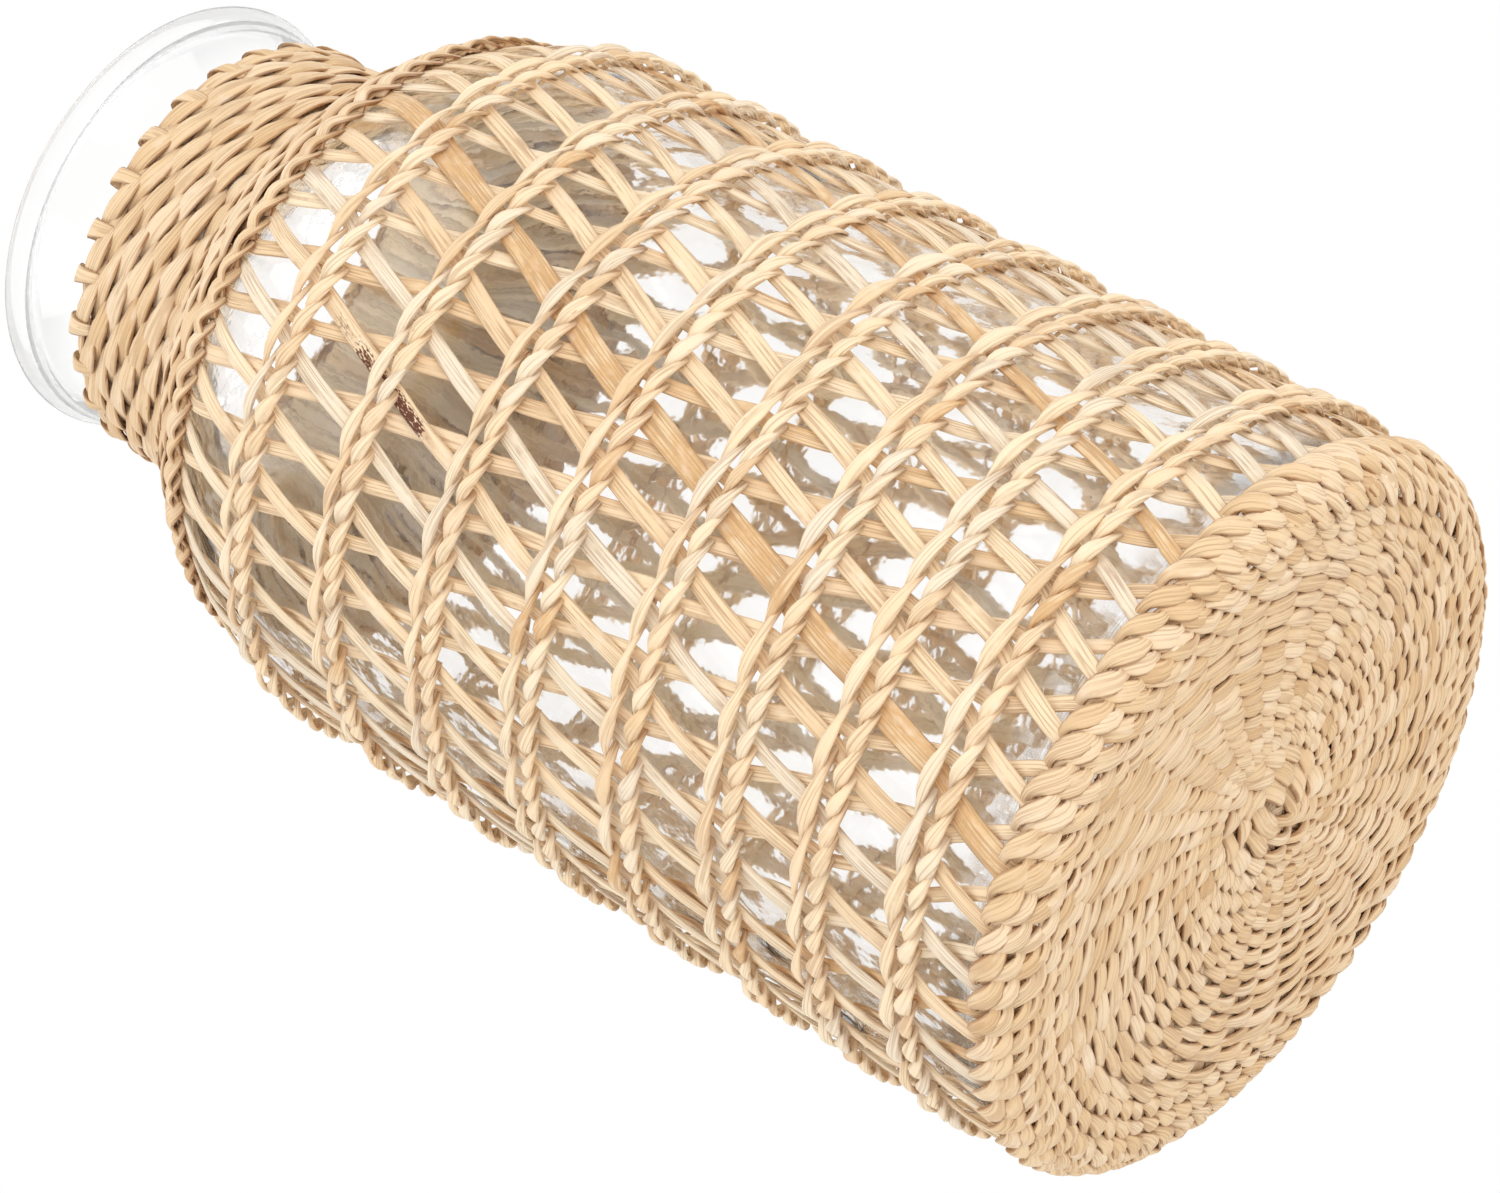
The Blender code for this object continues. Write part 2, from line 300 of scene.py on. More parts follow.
@dataclass(frozen=True)
class GlassFinish:
    """Clear blown glass, a little wavy, with painted grey shade where it is seen edge on.

    Heights: where up the jar an effect starts and where it is full.
    """

    name: str = "clear_blown_glass"
    clear: tuple = (1.0, 0.997, 0.992, 1.0)
    edge: tuple = (0.88, 0.90, 0.90, 1.0)
    edge_levels: tuple = (0.72, 1.0)
    straight: tuple = (0.98, 0.982, 0.982, 1.0)
    wavy_heights: tuple = (0.315, 0.27)
    lip_heights: tuple = (0.322, 0.334)
    lip_share: float = 0.25
    foot_heights: tuple = (0.024, 0.014)
    foot_share: float = 0.60
    refraction: float = 1.38
    roughness: float = 0.04
    wave_pitch: float = 14.0 * MM
    ripple_pitch: float = 1.5 * MM
    ripple_share: float = 0.018
    relief: float = 1.0 * MM

    def build(self) -> bpy.types.Material:
        """Material of this finish.

        It lets lamps through, so that what is behind it is lit. At the lip and the foot, where
        light would be caught in the thick rim and look black, part of it goes straight through.
        """
        made = bpy.data.materials.new(self.name)
        shade = Shade(made)
        place = shade.wire("TexCoord", "Object")

        def waves(pitch: float) -> Wire:
            """Smooth noise of a pitch."""
            return shade.wire("TexNoise", 0, None,
                              {"Vector": place, "Scale": 1.0 / pitch, "Detail": 0.0, "Roughness": 0.4})

        upright = Wire(shade, shade.node("SeparateXYZ", None, {0: place}).outputs[2])
        wavy = shade.ramp(upright, *self.wavy_heights)
        height = wavy * (waves(self.wave_pitch) + waves(self.ripple_pitch) * self.ripple_share)
        bump = shade.wire("Bump", 0, None, {"Strength": 0.5, "Distance": self.relief, "Height": height})
        # Painted shade: the colour turns grey where the surface is seen edge on
        grazing = shade.wire("LayerWeight", "Facing", None, {"Blend": 0.5})
        colour = shade.mix(shade.ramp(grazing, *self.edge_levels), self.clear, self.edge)
        glass = shade.node("BsdfPrincipled", None, {
            "Base Color": colour, "Roughness": self.roughness, "IOR": self.refraction,
            "Transmission Weight": 1.0, "Normal": bump})
        through = shade.node("BsdfTransparent", None, {"Color": self.straight})
        lamp_ray = shade.wire("LightPath", "Is Shadow Ray")
        thin = (shade.ramp(upright, *self.lip_heights) * self.lip_share
                + shade.ramp(upright, *self.foot_heights) * self.foot_share)
        shade.finish(shade.node("MixShader", None, {
            0: shade.maths("MAXIMUM", lamp_ray, thin), 1: glass.outputs[0], 2: through.outputs[0]}))
        return made


# The jar's outline


@dataclass(frozen=True)
class Outline:
    """Outside of the jar: corner, wall, shoulder, fillet and neck, told by the climb along it."""

    body_radius: float = 84.0 * MM
    corner: float = 5.5 * MM
    wall: float = 211.0 * MM
    shoulder: float = 65.0 * MM
    neck_radius: float = 49.5 * MM
    fillet: float = 12.0 * MM
    neck_length: float = 32.3 * MM
    flare: float = 16.5 * MM
    lip_radius: float = 56.4 * MM
    bead: float = 3.2 * MM
    glass_wall: float = 3.5 * MM
    glass_floor: float = 8.0 * MM
    cover: float = 7.0 * MM
    band_top: float = 10.0 * MM
    row_degrees: float = 31.5

    @property
    def foot(self) -> float:
        """Height where the straight wall starts."""
        return self.cover + self.corner

    @property
    def head(self) -> float:
        """Height where the straight wall ends."""
        return self.foot + self.wall

    @property
    def fillet_centre(self) -> tuple[float, float]:
        """Radius and height of the middle of the fillet between shoulder and neck."""
        radius = self.neck_radius + self.fillet
        reach = self.shoulder + self.fillet
        return radius, self.head + math.sqrt(reach ** 2 - (radius - self.body_radius + self.shoulder) ** 2)

    @property
    def tangent(self) -> float:
        """Angle on the shoulder's arc at which the fillet takes over."""
        radius, height = self.fillet_centre
        return math.atan2(height - self.head, radius - self.body_radius + self.shoulder)

    @property
    def shoulder_row(self) -> float:
        """Climb of the row on the shoulder where the open lattice ends."""
        return self.wall + self.shoulder * math.radians(self.row_degrees)

    @property
    def shoulder_end(self) -> float:
        """Climb at which the shoulder ends."""
        return self.wall + self.shoulder * self.tangent

    @property
    def neck_start(self) -> float:
        """Climb at which the neck starts."""
        return self.shoulder_end + self.fillet * self.tangent

    @property
    def neck_end(self) -> float:
        """Climb at which the neck ends and the flare starts."""
        return self.neck_start + self.neck_length

    @property
    def band_rise(self) -> float:
        """Climb, on the corner, of the top edge of the rows round it."""
        return -self.corner * math.asin((self.foot - self.band_top) / (self.corner + self.cover))

    def point(self, rise: Array, depth: Array) -> tuple[Array, Array]:
        """Radius and height at a climb and a depth.

        The base is flat, the corner and the shoulder are arcs whose radius grows with depth, the
        wall and the neck are straight lines moved out by it, and the fillet is an arc that
        shrinks with it.
        """
        rise, depth = np.broadcast_arrays(np.asarray(rise, float), np.asarray(depth, float))
        fillet_radius, fillet_height = self.fillet_centre
        arc = self.corner * math.pi / 2
        low = rise / self.corner
        high = (rise - self.wall) / self.shoulder
        bend = self.tangent - (rise - self.shoulder_end) / self.fillet
        stretches = [rise < -arc, rise < 0.0, rise <= self.wall, rise <= self.shoulder_end,
                     rise <= self.neck_start]
        radius = np.select(stretches, [
            self.body_radius - self.corner + rise + arc,
            self.body_radius - self.corner + (self.corner + depth) * np.cos(low),
            self.body_radius + depth,
            self.body_radius - self.shoulder + (self.shoulder + depth) * np.cos(high),
            fillet_radius - (self.fillet - depth) * np.cos(bend)], self.neck_radius + depth)
        height = np.select(stretches, [
            self.cover - depth,
            self.foot + (self.corner + depth) * np.sin(low),
            self.foot + rise,
            self.head + (self.shoulder + depth) * np.sin(high),
            fillet_height - (self.fillet - depth) * np.sin(bend)], fillet_height + rise - self.neck_start)
        return radius, height

    def place(self, direction: Array, rise: Array, depth: Array) -> Array:
        """Points in space at a direction round the axis, a climb and a depth."""
        radius, height = self.point(rise, depth)
        east, north = radius * np.cos(direction), radius * np.sin(direction)
        return np.stack(np.broadcast_arrays(east, north, height), -1)

    def flat_climb(self, radius: float) -> float:
        """Climb, below nought, of a circle under the base."""
        return radius - self.body_radius + self.corner * (1.0 - math.pi / 2)


# Meshes


def unit(vectors: Array) -> Array:
    """Vectors scaled to length one."""
    return vectors / np.maximum(np.linalg.norm(vectors, axis=-1, keepdims=True), 1e-12)


def ease(share: Array) -> Array:
    """Smooth step: three times the square less twice the cube, of a share held between 0 and 1."""
    held = np.clip(share, 0.0, 1.0)
    return held * held * (3.0 - 2.0 * held)


@dataclass
class Strands:
    """A batch of strands that share one layout of faces.

    centre, out: strands x stations x 3, the middle line and the way that the flat face looks.
    width, thickness: strands x stations, whole sizes of the oval section.
    tone: one number for each strand.
    stain, tuck, tilt: strands x stations, or nothing. Tilt turns the section, in radians.
    crease: strands x 2, or nothing. Where across the strand a ridge runs, and its height.
    """

    centre: Array
    out: Array
    width: Array
    thickness: Array
    tone: Array
    stain: Array | None = None
    tuck: Array | None = None
    tilt: Array | None = None
    crease: Array | None = None
    around: int = 8
    squareness: float = 1.0

    def frames(self) -> tuple[Array, Array]:
        """The side and the outward way at each station, square to the middle line and tilted."""
        ahead = unit(np.gradient(self.centre, axis=1))
        out = unit(self.out - np.sum(self.out * ahead, -1, keepdims=True) * ahead)
        side = np.cross(out, ahead)
        if self.tilt is None:
            return side, out
        cosine, sine = np.cos(self.tilt)[..., None], np.sin(self.tilt)[..., None]
        return side * cosine - out * sine, out * cosine + side * sine

    def surface(self) -> tuple[Array, Array, dict[str, Array]]:
        """Vertices, map and attributes.

        Each section is an oval: the middle, plus half the width times a cosine along the side,
        plus half the thickness times a sine along the outward way. Powers of the cosine and the
        sine below one square the oval off. A crease lifts each point by its height, less its
        height times the distance from the ridge, in half widths, so the strand is folded there.
        A stain keeps to the side half of the strand, and rim is the size of the cosine. The finish
        paints shade along the edges by rim, and where a strand goes in by tuck.
        """
        side, out = self.frames()
        angle = np.linspace(0.0, FULL_TURN, self.around, endpoint=False)
        cosine, sine = np.cos(angle), np.sin(angle)
        cosine = np.sign(cosine) * np.abs(cosine) ** self.squareness
        sine = np.sign(sine) * np.abs(sine) ** self.squareness
        lift = 0.5 * self.thickness[..., None] * sine
        if self.crease is not None:
            ridge, height = self.crease[:, :1], self.crease[:, 1:]
            lift = lift + (height * (1.0 - np.abs(cosine - ridge)))[:, None]
        half_width = 0.5 * self.width[..., None, None]
        points = (self.centre[:, :, None] + half_width * cosine[:, None] * side[:, :, None]
                  + lift[..., None] * out[:, :, None])
        steps = np.linalg.norm(np.diff(self.centre, axis=1), axis=-1)
        along = np.concatenate([np.zeros((len(steps), 1)), np.cumsum(steps, axis=1)], axis=1)
        across = 0.5 * self.width[..., None] * cosine
        places = np.stack(np.broadcast_arrays(across, along[..., None] + self.tone[:, None, None]), -1)
        blank = np.zeros(across.shape)
        marks = {"tone": self.tone[:, None, None] + blank,
                 "stain": blank if self.stain is None else self.stain[..., None] * ease(1.0 + cosine) + blank,
                 "tuck": blank if self.tuck is None else self.tuck[..., None] + blank,
                 "rim": np.abs(cosine) + blank}
        return points, places, marks

    def faces(self, first: int) -> tuple[Array, list[Array]]:
        """Corner numbers of the side faces, and of the end caps, whose corners are the end sections."""
        count, stations = self.width.shape
        around = self.around
        grid = first + np.arange(count * stations * around).reshape(count, stations, around)
        near, far = grid[:, :-1], grid[:, 1:]
        quads = np.stack([near, np.roll(near, -1, 2), np.roll(far, -1, 2), far], -1).reshape(-1, 4)
        return quads, [grid[:, 0, ::-1], grid[:, -1]]


def link(name: str, data: bpy.types.ID) -> bpy.types.Object:
    """Object with the data given, in the scene."""
    made = bpy.data.objects.new(name, data)
    bpy.context.scene.collection.objects.link(made)
    return made


def weave_mesh(name: str, batches: list[Strands]) -> bpy.types.Object:
    """One object from batches of strands, smooth, with its map and marks."""
    points, places, marks = [], [], {mark: [] for mark in MARKS}
    corners, starts, totals = [], [], []
    first, corner = 0, 0
    for batch in batches:
        found, place, values = batch.surface()
        quads, caps = batch.faces(first)
        for block in [quads] + caps:
            corners.append(block.reshape(-1))
            starts.append(corner + np.arange(len(block)) * block.shape[1])
            totals.append(np.full(len(block), block.shape[1]))
            corner += block.size
        points.append(found.reshape(-1, 3))
        places.append(place.reshape(-1, 2))
        for label, value in values.items():
            marks[label].append(value.reshape(-1))
        first += points[-1].shape[0]
    joined = map(np.concatenate, (points, corners, starts, totals, places))
    return mesh_object(name, *joined, {label: np.concatenate(value) for label, value in marks.items()})


def mesh_object(name: str, points: Array, corners: Array, starts: Array, totals: Array, places: Array,
                marks: dict[str, Array]) -> bpy.types.Object:
    """Object from arrays: points, face corners, each face's start and size, and a map and marks per point."""
    mesh = bpy.data.meshes.new(name)
    mesh.vertices.add(len(points))
    mesh.vertices.foreach_set("co", points.astype(np.float32).reshape(-1))
    mesh.loops.add(len(corners))
    mesh.loops.foreach_set("vertex_index", corners.astype(np.int32))
    mesh.polygons.add(len(starts))
    mesh.polygons.foreach_set("loop_start", starts.astype(np.int32))
    mesh.polygons.foreach_set("loop_total", totals.astype(np.int32))
    mesh.update(calc_edges=True)
    mesh.validate()
    layer = mesh.uv_layers.new(name=STRAND_MAP)
    layer.data.foreach_set("uv", places[corners].astype(np.float32).reshape(-1))
    for label, values in marks.items():
        attribute = mesh.attributes.new(label, "FLOAT", "POINT")
        attribute.data.foreach_set("value", values.astype(np.float32))
    mesh.shade_smooth()
    return link(name, mesh)


def dress(piece: bpy.types.Object, finish: bpy.types.Material, slot: Slot, *nodes: str) -> bpy.types.Object:
    """Give a piece its material, hang it on the root body and hide the solids it stands for."""
    piece.data.materials.append(finish)
    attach(piece, ROOT_BODY)
    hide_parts(*nodes)
    log.info("%s: %d faces", piece.name, len(piece.data.polygons))
    return piece


# The glass


@dataclass
class Jar:
    """The glass, turned from its outline with a rolled lip."""

    outline: Outline
    turns: int = 160
    arc_steps: int = 14
    straight_steps: int = 12
    neck_steps: int = 4
    flare_steps: int = 8
    flare_curve: float = 1.5
    bead_degrees: tuple = (225.0, -45.0)
    inside_start: float = 0.05

    def profile(self) -> Array:
        """Radius and height up the inside from the floor, over the lip and down the outside."""
        line = self.outline
        corner = np.linspace(-line.corner * math.pi / 2, 0.0, self.arc_steps)
        wall = np.linspace(0.0, line.wall, self.straight_steps)[1:]
        shoulder = np.linspace(line.wall, line.shoulder_end, 2 * self.arc_steps)[1:]
        fillet = np.linspace(line.shoulder_end, line.neck_start, self.arc_steps)[1:]
        neck = np.linspace(line.neck_start, line.neck_end, self.neck_steps)[1:]
        climbs = np.concatenate([corner, wall, shoulder, fillet, neck])
        outside = np.stack(line.point(climbs, 0.0), -1)
        above = climbs[climbs >= line.wall * self.inside_start]
        inside = np.stack(line.point(above, -line.glass_wall), -1)
        floor = line.cover + line.glass_floor
        hollow = line.corner - line.glass_wall
        turn = np.linspace(0.0, math.pi / 2, self.arc_steps)
        foot = np.stack([line.body_radius - line.corner + hollow * np.sin(turn),
                         floor + hollow * (1.0 - np.cos(turn))], -1)
        inside = np.concatenate([[[0.0, floor]], [[line.body_radius / 2, floor]], foot, inside])
        lip = self.lip(outside[-1], inside[-1])
        base = np.array([[0.0, line.cover], [line.body_radius / 2, line.cover]])
        return np.concatenate([inside, lip, outside[::-1], base[::-1]])

    def lip(self, outer: Array, inner: Array) -> Array:
        """Flare and bead: a flare that opens as it rises, up to a bead of three quarters of a circle."""
        line = self.outline
        middle = np.array([line.lip_radius - line.bead, outer[1] + line.flare + line.bead])
        angle = np.radians(np.linspace(*self.bead_degrees, 3 * self.arc_steps))
        bead = middle + line.bead * np.stack([np.cos(angle), np.sin(angle)], -1)
        share = np.linspace(0.0, 1.0, self.flare_steps)[1:-1, None]
        spread = share ** self.flare_curve
        rise_in = inner + (bead[0] - inner) * np.concatenate([spread, share], 1)
        fall_out = outer + (bead[-1] - outer) * np.concatenate([spread, share], 1)
        return np.concatenate([rise_in, bead, fall_out[::-1]])

    def build(self) -> bpy.types.Object:
        """Turn the profile: each station is its radius times a circle, at its height."""
        profile = self.profile()
        hub = profile[:, 0] < 1e-9
        angle = np.linspace(0.0, FULL_TURN, self.turns, endpoint=False)
        ring = profile[~hub]
        points = np.stack([ring[:, :1] * np.cos(angle), ring[:, :1] * np.sin(angle),
                           np.broadcast_to(ring[:, 1:], (len(ring), self.turns))], -1).reshape(-1, 3)
        poles = np.stack([np.zeros(2), np.zeros(2), profile[hub][:, 1]], -1)
        grid = np.arange(len(ring) * self.turns).reshape(len(ring), self.turns)
        low, high = grid[:-1], grid[1:]
        quads = np.stack([low, high, np.roll(high, -1, 1), np.roll(low, -1, 1)], -1).reshape(-1, 4)
        pole = len(points) + np.arange(2)
        inner = np.stack([np.full(self.turns, pole[0]), grid[0], np.roll(grid[0], -1)], -1)
        outer = np.stack([np.full(self.turns, pole[1]), np.roll(grid[-1], -1), grid[-1]], -1)
        corners = np.concatenate([quads.reshape(-1), inner.reshape(-1), outer.reshape(-1)])
        totals = np.concatenate([np.full(len(quads), 4), np.full(2 * self.turns, 3)])
        starts = np.concatenate([[0], np.cumsum(totals)[:-1]])
        points = np.concatenate([points, poles])
        return mesh_object("jar_glass", points, corners, starts, totals, points[:, :2], {})


# The weave


@dataclass(frozen=True)
class Lay:
    """How a twined strand lies, over the part of it that shows and the tucked part each side.

    degrees, climb: how far round it runs in half a turn of phase, and how far down in a quarter.
    bow, depth, swell: lift of its middle, how far out it lies, and how much further in its middle.
    lag, reach: how late it comes out, in radians, and its run each way, in half turns of phase.
    tip, blunt: how wide it starts, and how much narrower it ends, as shares of its width.
    turn, tilt: degrees that its section turns along it, and at most by chance.
    fold, uneven: height of its ridge, and share of the usual unevenness.
    """

    degrees: float
    width: float
    climb: float
    bow: float = 0.0
    thickness: float = 1.15 * MM
    depth: float = 3.4 * MM
    swell: float = 2.3 * MM
    lag: float = 0.55
    reach: float = 0.8
    tip: float = 0.35
    blunt: float = 0.35
    turn: float = 14.0
    tilt: float = 10.0
    fold: float = 0.50 * MM
    uneven: float = 1.0
    stations: int = 13
    around: int = 12
    squareness: float = 0.8


@dataclass
class Loom:
    """Lays strands on the outline, each a little different from the next."""

    outline: Outline
    seed: int
    length_spread: float = 0.08
    place_spread: float = 0.06
    climb_spread: float = 0.18
    rise_spread: float = 0.26 * MM
    bow_spread: float = 0.4
    swell_spread: float = 0.06
    width_spread: float = 0.12
    ridge_spread: float = 0.6
    tuck_start: float = 0.30 * math.pi
    tuck_span: float = 0.35 * math.pi
    wave_sum: float = 1.6
    chance: np.random.Generator = field(init=False)

    def __post_init__(self) -> None:
        """Seed the differences between strands."""
        self.chance = np.random.default_rng(self.seed)

    def vary(self, count: int, share: float) -> Array:
        """Factors near one, one for each strand."""
        return 1.0 + share * self.chance.uniform(-1.0, 1.0, count)

    def lenses(self, directions: Array, rises: Array, lay: Lay) -> Strands:
        """Twined strands, each of which comes out at one end, passes over and goes in at the other.

        With the phase running from minus reach to plus reach half turns, the direction moves
        with the phase, the climb falls with its sine up to a quarter turn each way and little
        after it, the bow lifts it with its cosine, and the depth grows with its cosine, a little
        late, so that the far end of each strand lies over the near end of the next. The width
        grows from the tip over the first half, as a leaf does, and falls off shortly before the
        blunt end. Each section is tilted, more at one end than at the other.

        Args:
            directions: Middle of each strand, in radians round the axis.
            rises: Climb of each strand's middle.
            lay: How the strands lie.

        Returns:
            The strands.
        """
        count = len(directions)
        loose = lay.uneven
        phase = np.linspace(-lay.reach, lay.reach, lay.stations) * math.pi
        run = math.radians(lay.degrees)
        half = run * self.vary(count, self.length_spread * loose)
        centre = directions + run * self.place_spread * loose * self.chance.uniform(-1.0, 1.0, count)
        direction = centre[:, None] + half[:, None] * phase / math.pi
        climb = lay.climb * self.vary(count, self.climb_spread * loose)
        middle = rises + self.rise_spread * loose * self.chance.uniform(-1.0, 1.0, count)
        bow = lay.bow * self.vary(count, self.bow_spread * loose)
        passing = np.sin(np.clip(phase, -math.pi / 2, math.pi / 2))
        rise = (middle[:, None] - climb[:, None] * (0.7 * passing + 0.3 * np.sin(phase))
                + bow[:, None] * np.cos(phase))
        swell = lay.swell * self.vary(count, self.swell_spread * loose)
        depth = lay.depth + swell[:, None] * np.cos(phase - lay.lag)
        share = 0.5 + 0.5 * passing
        tucked = np.clip(np.abs(phase) - math.pi / 2, 0.0, None) / (math.pi / 2)
        leaf = (lay.tip + (1.0 - lay.tip) * ease(share / 0.5)) * (1.0 - lay.blunt * ease((share - 0.8) / 0.2))
        width = lay.width * self.vary(count, self.width_spread * loose)[:, None] * leaf * (1.0 - 0.3 * tucked)
        thickness = np.broadcast_to(lay.thickness * (0.75 + 0.25 * np.cos(phase)), width.shape)
        turned = math.radians(lay.tilt) * self.chance.uniform(-1.0, 1.0, (count, 2))
        tilt = turned[:, :1] + (math.radians(lay.turn) + turned[:, 1:]) * np.sin(phase)
        crease = np.stack([self.chance.uniform(-self.ridge_spread, self.ridge_spread, count),
                           lay.fold * self.chance.uniform(0.3, 1.0, count)], -1)
        path = self.outline.place(direction, rise, depth)
        out = self.outline.place(direction, rise, depth + MM) - path
        # How far each point lies in under the next strand; the finish paints shade there by it
        tuck = ease((np.abs(phase - 0.5 * lay.lag) - self.tuck_start) / self.tuck_span)
        return Strands(path, out, width, thickness, self.chance.uniform(0.0, 1.0, count),
                       tuck=tuck + np.zeros(width.shape), tilt=tilt, crease=crease,
                       around=lay.around, squareness=lay.squareness)

    def wobble(self, directions: Array, size: float) -> Array:
        """Slow unevenness round a row: waves of two to six lengths a turn, at random phases."""
        waves = np.arange(2, 7)
        phases = self.chance.uniform(0.0, FULL_TURN, len(waves))
        swings = np.sin(directions[:, None] * waves + phases) / np.sqrt(waves)
        return size * np.sum(swings, axis=1) / self.wave_sum

    def round_row(self, rise: float, count: int, first: float, lay: Lay, sway: float = 0.4 * MM) -> Strands:
        """Strands evenly round the jar in one row, the first at a direction in degrees."""
        directions = math.radians(first) + FULL_TURN * np.arange(count) / count
        return self.lenses(directions, rise + self.wobble(directions, sway), lay)


@dataclass
class Stakes:
    """Doubled stakes: outer legs that all lean one way and inner legs that lean the other way.

    Turns: degrees that an outer leg goes round in each gap between rings.
    Leans and unders: degrees added to a leg just over and just under a ring that holds it.
    scar_climbs, scar_depths: a blemish along one stake, at climbs in millimetres.
    """

    outline: Outline
    rings: Array
    pairs: int = 37
    front_direction: float = -93.0
    front_ring: int = 6
    foot_turn: float = 5.0
    lower_turn: float = 6.1
    lower_gaps: int = 2
    upper_turn: float = 7.1
    shoulder_turn: float = 6.9
    outer_leans: tuple = (1.8, 1.4, 1.4, 1.2, 0.3, 0.3, 0.8, 1.6, 0.2)
    outer_under: float = -0.55
    inner_lean: float = -0.3
    inner_under: float = -1.05
    held_from: float = -5.0 * MM
    held_to: float = 1.0 * MM
    outer_width: float = 4.3 * MM
    inner_width: float = 3.6 * MM
    thickness: float = 0.9 * MM
    squareness: float = 0.45
    held_depth: float = 2.5 * MM
    over_depth: float = 3.3 * MM
    under_depth: float = 1.2 * MM
    swing_lead: float = 2.0 * MM
    foot_rise: float = -8.6 * MM
    top_drop: float = 5.0 * MM
    fine_stations: int = 900
    soft_stations: int = 21
    waves: int = 6
    wave_number: float = 24.0
    sway: float = 0.16
    width_spread: float = 0.09
    width_sway: float = 0.035
    top_flare: float = 0.25
    top_span: float = 12.0 * MM
    foot_flare: float = 0.6
    foot_gap: float = 0.5 * MM
    foot_span: float = 2.5 * MM
    wide_stake: int = 2
    wide_share: float = 1.5
    chosen_tones: tuple = ((2, 0.99), (0, 0.02), (36, 0.70))
    scarred_stake: int = 36
    scar_climbs: tuple = (170.0, 171.5, 184.0, 190.0, 196.0, 199.0, 204.0, 207.0, 211.0)
    scar_depths: tuple = (0.0, 1.0, 1.0, 0.80, 0.65, 0.20, 0.40, 0.2, 0.0)
    stations: int = 120
    around: int = 8
    seed: int = 41
    chance: np.random.Generator = field(init=False)

    def __post_init__(self) -> None:
        """Seed the differences between stakes."""
        self.chance = np.random.default_rng(self.seed)

    @property
    def pitch(self) -> float:
        """Degrees from one stake to the next."""
        return 360.0 / self.pairs

    @property
    def marks(self) -> Array:
        """Climbs between which the gaps lie."""
        return np.concatenate([[self.outline.band_rise], self.rings, [self.outline.shoulder_row]])

    def passed(self, rise: Array) -> Array:
        """Gaps passed at a climb, with part of a gap as a fraction."""
        marks = self.marks
        below = (rise - marks[0]) / (marks[1] - marks[0])
        return np.where(rise < marks[0], below, np.interp(rise, marks, np.arange(len(marks))))

    def outer_turn(self, rise: Array) -> Array:
        """Degrees that an outer leg has gone round, measured from the ring that fixes the front stake."""
        upper = len(self.rings) - 1 - self.lower_gaps
        turns = [self.foot_turn] + [self.lower_turn] * self.lower_gaps + [self.upper_turn] * upper
        total = np.concatenate([[0.0], np.cumsum(turns + [self.shoulder_turn])])
        gaps = self.passed(rise)
        below = np.minimum(gaps, 0.0) * self.foot_turn
        return below + np.interp(gaps, np.arange(len(total)), total) - total[self.front_ring]

    def leg_direction(self, rise: Array, crossed: bool) -> Array:
        """Direction in degrees of the first stake's leg; an inner leg passes one outer leg in each gap."""
        direction = self.front_direction + self.outer_turn(rise)
        return direction + (self.pitch / 2 - self.pitch * self.passed(rise) if crossed else 0.0)

    def first_leg(self, rise: float) -> float:
        """Direction in degrees of the first stake's outer leg at one climb."""
        return float(self.leg_direction(np.array([rise]), False)[0])

    def path(self, crossed: bool) -> tuple[Array, Array, Array]:
        """Climb, direction in degrees and depth of the first stake's leg.

        Held by a ring, a leg runs nearly straight up for six millimetres, so its direction is
        worked out at knots just over and well under each ring and eased between them. Between
        rings it swings out over the other legs, or in under them.
        """
        fine = np.linspace(self.foot_rise, self.outline.neck_end - self.top_drop, self.fine_stations)
        marks = self.marks[1:]
        usual = self.leg_direction(marks, crossed)
        over = usual + (self.inner_lean if crossed else np.array(self.outer_leans))
        under = usual + (self.inner_under if crossed else self.outer_under)
        knots = np.stack([marks + self.held_from, marks + self.held_to], -1).reshape(-1)
        turned = np.stack([under, over], -1).reshape(-1)
        low = np.array([self.foot_rise, self.marks[0]])
        knots = np.concatenate([low, knots, [fine[-1]]])
        top = self.leg_direction(np.array([marks[-1]]), crossed)
        turned = np.concatenate([self.leg_direction(low, crossed), turned, top])
        direction = np.interp(fine, knots, turned)
        soft = np.hanning(self.soft_stations)
        padded = np.pad(direction, self.soft_stations // 2, mode="edge")
        direction = np.convolve(padded, soft / soft.sum(), mode="valid")
        swing = 0.5 - 0.5 * np.cos(FULL_TURN * self.passed(fine + self.swing_lead))
        swing = np.where((fine > self.marks[0]) & (fine < marks[-1]), swing, 0.0)
        far = self.under_depth if crossed else self.over_depth
        depth = self.held_depth + (far - self.held_depth) * swing
        climb = np.linspace(fine[0], fine[-1], self.stations)
        return climb, np.interp(climb, fine, direction), np.interp(climb, fine, depth)

    def legs(self, crossed: bool) -> list[Strands]:
        """One leg of every stake, each as a batch of its own."""
        climb, direction, depth = self.path(crossed)
        count = self.pairs
        numbers = np.arange(count)[:, None]
        sway = self.chance.normal(0.0, 1.0, (count, self.waves))
        swings = np.stack([np.sin(climb * wave * self.wave_number + wave)
                           for wave in range(1, self.waves + 1)])
        uneven = self.sway * (sway @ swings) / math.sqrt(self.waves / 2)
        turned = np.radians(direction + numbers * self.pitch + uneven)
        rise = np.broadcast_to(climb, turned.shape)
        deep = np.broadcast_to(depth, turned.shape)
        centre = self.outline.place(turned, rise, deep)
        out = self.outline.place(turned, rise, deep + MM) - centre
        usual = self.inner_width if crossed else self.outer_width
        width = usual * (1.0 + self.width_spread * self.chance.uniform(-1.0, 1.0, (count, 1)))
        width = width * (1.0 + self.width_sway * self.chance.normal(0.0, 1.0, (count, self.waves)) @ swings)
        above = ease((climb - self.outline.shoulder_row) / self.top_span)
        below = ease((self.outline.band_rise - self.foot_gap - climb) / self.foot_span)
        width = width * (1.0 + self.top_flare * above) * (1.0 + self.foot_flare * below)
        thick = np.full(width.shape, self.thickness)
        tone = self.chance.uniform(0.0, 1.0, count)
        stain = np.zeros(width.shape)
        if not crossed:
            width[self.wide_stake] *= self.wide_share
            for number, chosen in self.chosen_tones:
                tone[number] = chosen
